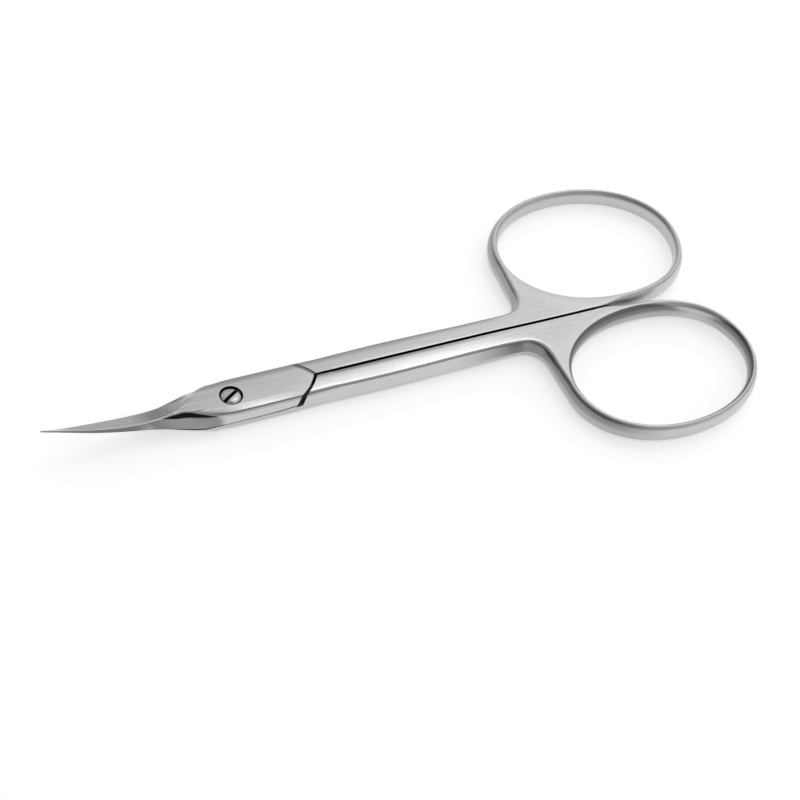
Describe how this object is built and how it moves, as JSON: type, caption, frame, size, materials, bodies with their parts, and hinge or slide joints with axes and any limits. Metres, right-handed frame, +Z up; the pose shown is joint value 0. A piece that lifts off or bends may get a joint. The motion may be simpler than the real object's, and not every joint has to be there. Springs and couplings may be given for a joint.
{
  "type": "nail scissors",
  "caption": "Fine curved nail scissors: oval finger rings, straight bevelled shanks, a lap joint on a slotted countersunk screw, and slim blades that curve up.",
  "frame": {"origin": "on the pivot axis, at the underside on which the closed scissors lie", "axes": "+X from the pivot along the shanks to the finger rings, so the tips point along -X; +Z up along the pivot, to the screw head"},
  "size_m": [0.09, 0.0418, 0.005],
  "materials": {
    "ground_steel": "fine ground and polished stainless steel, satin on the flats",
    "screw_steel": "turned stainless steel, a little darker"
  },
  "bodies": {
    "lower": {"lower_half": "ground_steel", "pivot_screw": "screw_steel"},
    "upper": {"upper_half": "ground_steel"}
  },
  "joints": [
    {"name": "pivot", "type": "hinge", "parent": "lower", "child": "upper", "pos_m": [0, 0, 0.00155], "axis": [0, 0, 1], "range_deg": [0, 140]}
  ]
}
